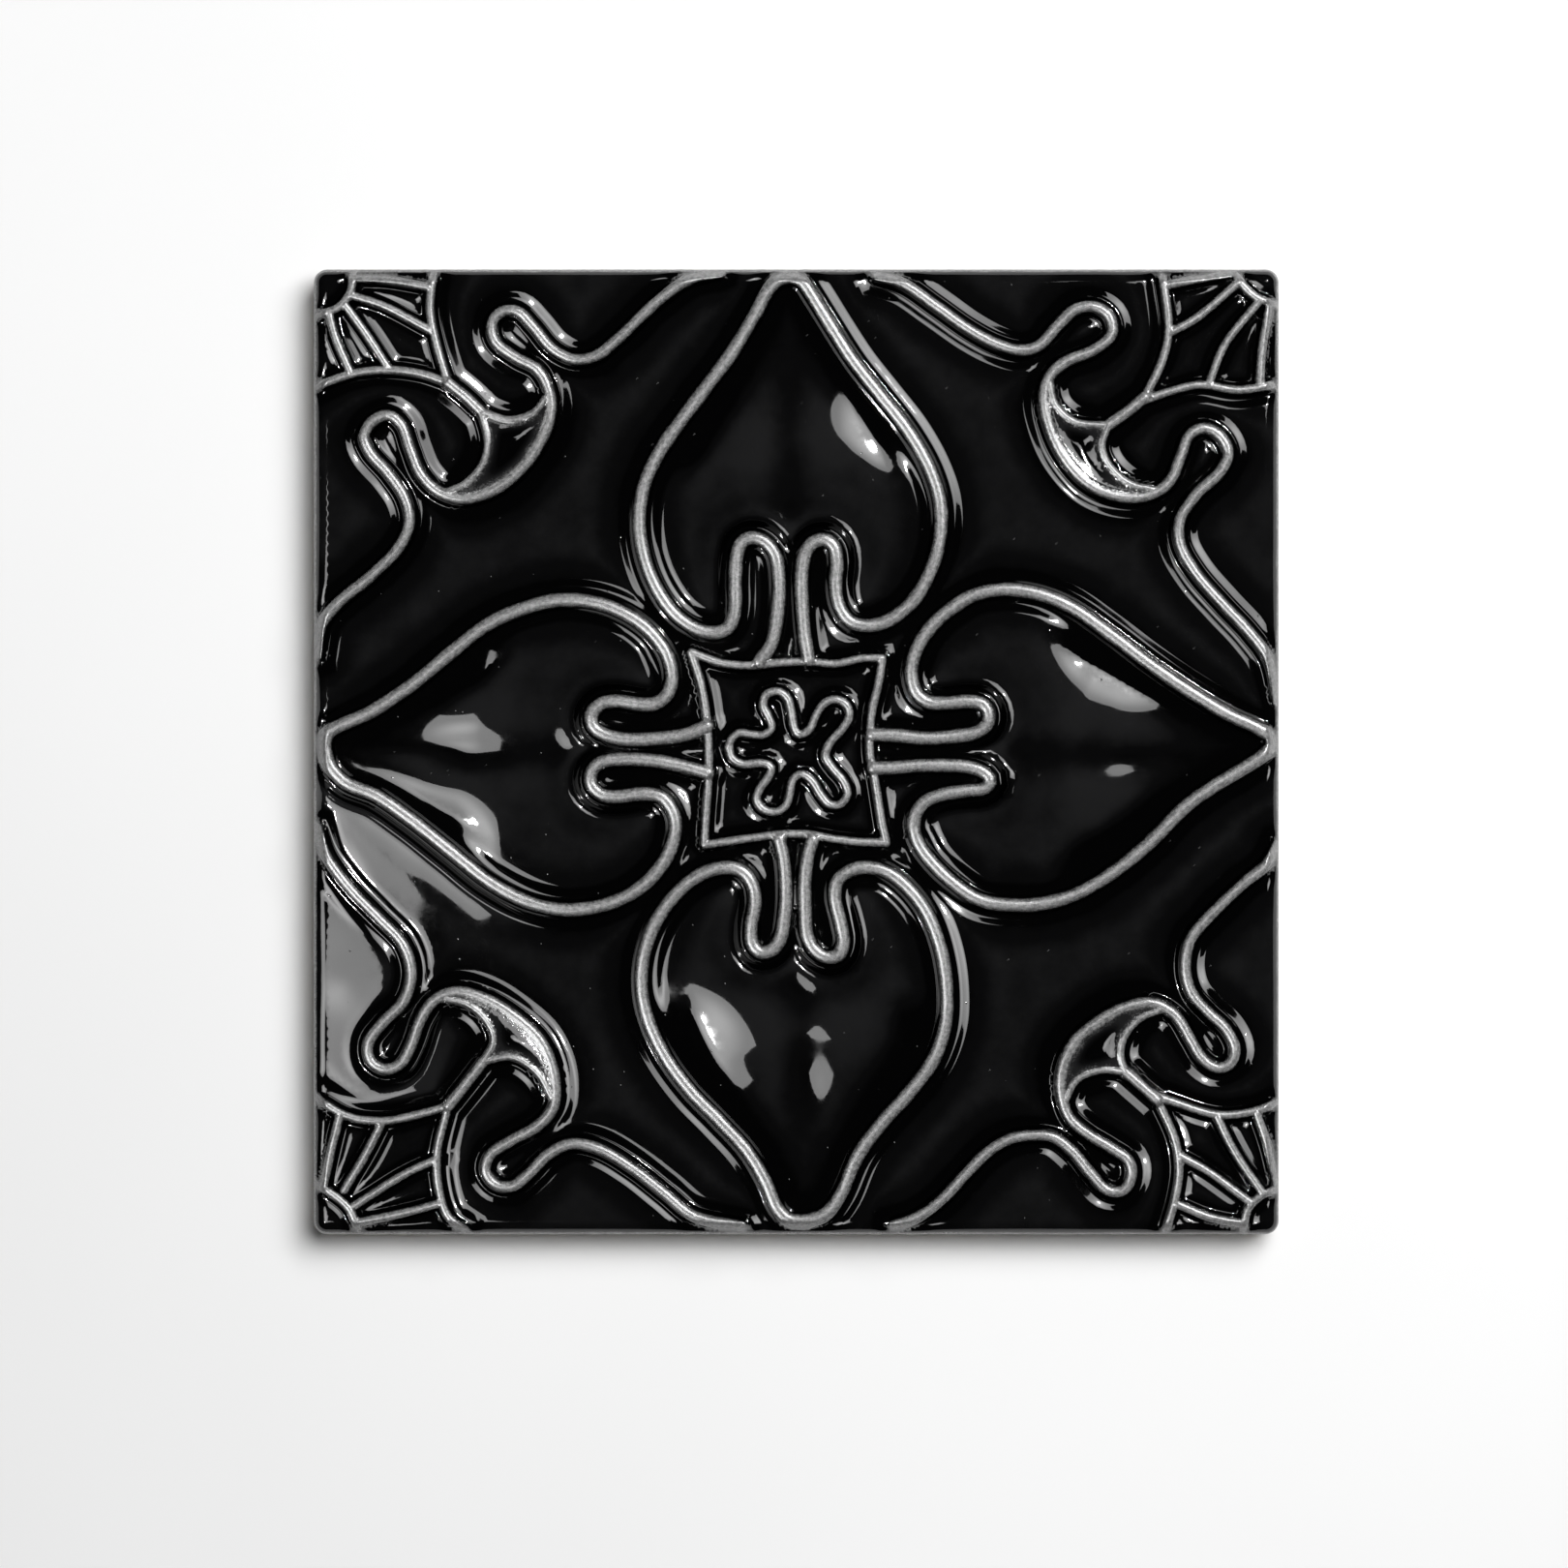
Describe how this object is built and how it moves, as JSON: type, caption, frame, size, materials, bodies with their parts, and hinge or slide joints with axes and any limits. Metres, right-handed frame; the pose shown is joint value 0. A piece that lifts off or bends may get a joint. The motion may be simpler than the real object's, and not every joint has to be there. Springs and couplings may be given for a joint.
{
  "type": "faience wall tile",
  "caption": "Square glazed ceramic wall tile with raised lines: heart-shaped petals around a small square, scrolls and a fan in each corner, rounded face edges and a flat back.",
  "frame": {"origin": "centre of the flat back of the tile", "axes": "+Z out of the glazed face, +X to the right side of the ornament, +Y to its top"},
  "size_m": [0.15, 0.15, 0.0107],
  "materials": {
    "glaze": "gloss"
  },
  "bodies": {
    "root": {"relief_tile": "glaze"}
  },
  "joints": []
}
